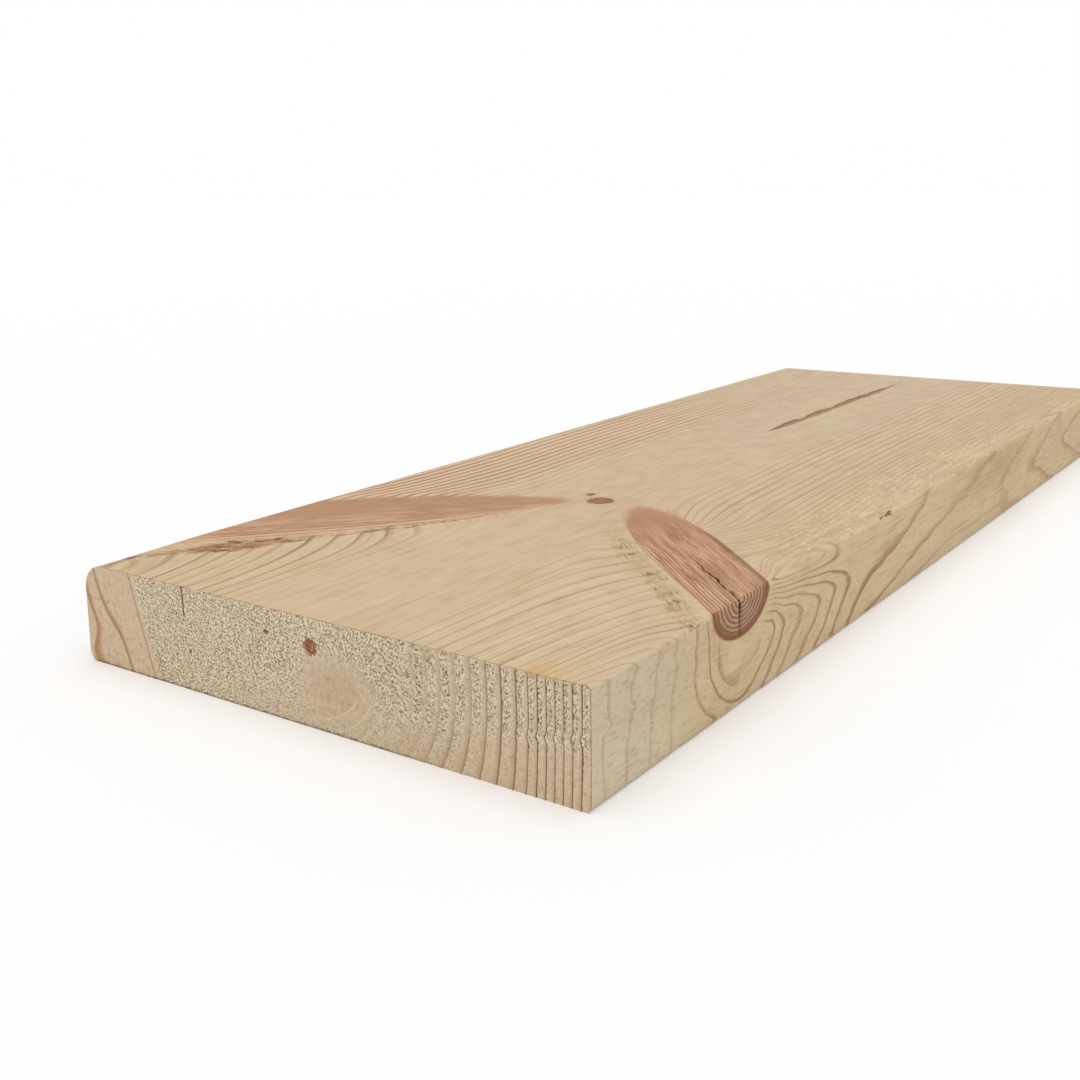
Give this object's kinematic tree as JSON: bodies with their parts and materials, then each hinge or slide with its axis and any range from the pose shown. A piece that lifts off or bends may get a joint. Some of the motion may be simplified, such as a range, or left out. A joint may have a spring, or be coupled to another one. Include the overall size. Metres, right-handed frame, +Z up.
{
  "type": "timber lumber plank",
  "caption": "Short sawn softwood plank with a boxed heart, spike knots and drying checks, lying flat, for shelving, framing or blocking.",
  "frame": {"origin": "middle of the underside's bounding rectangle, on the floor", "axes": "+Y along the length to the far end, +X across the width to the sharp-arrised edge, +Z up through the thickness"},
  "size_m": [0.225, 0.6, 0.038],
  "materials": {
    "sawn_softwood": "sawn and lightly planed, bare"
  },
  "bodies": {
    "root": {"plank": "sawn_softwood"}
  },
  "joints": []
}
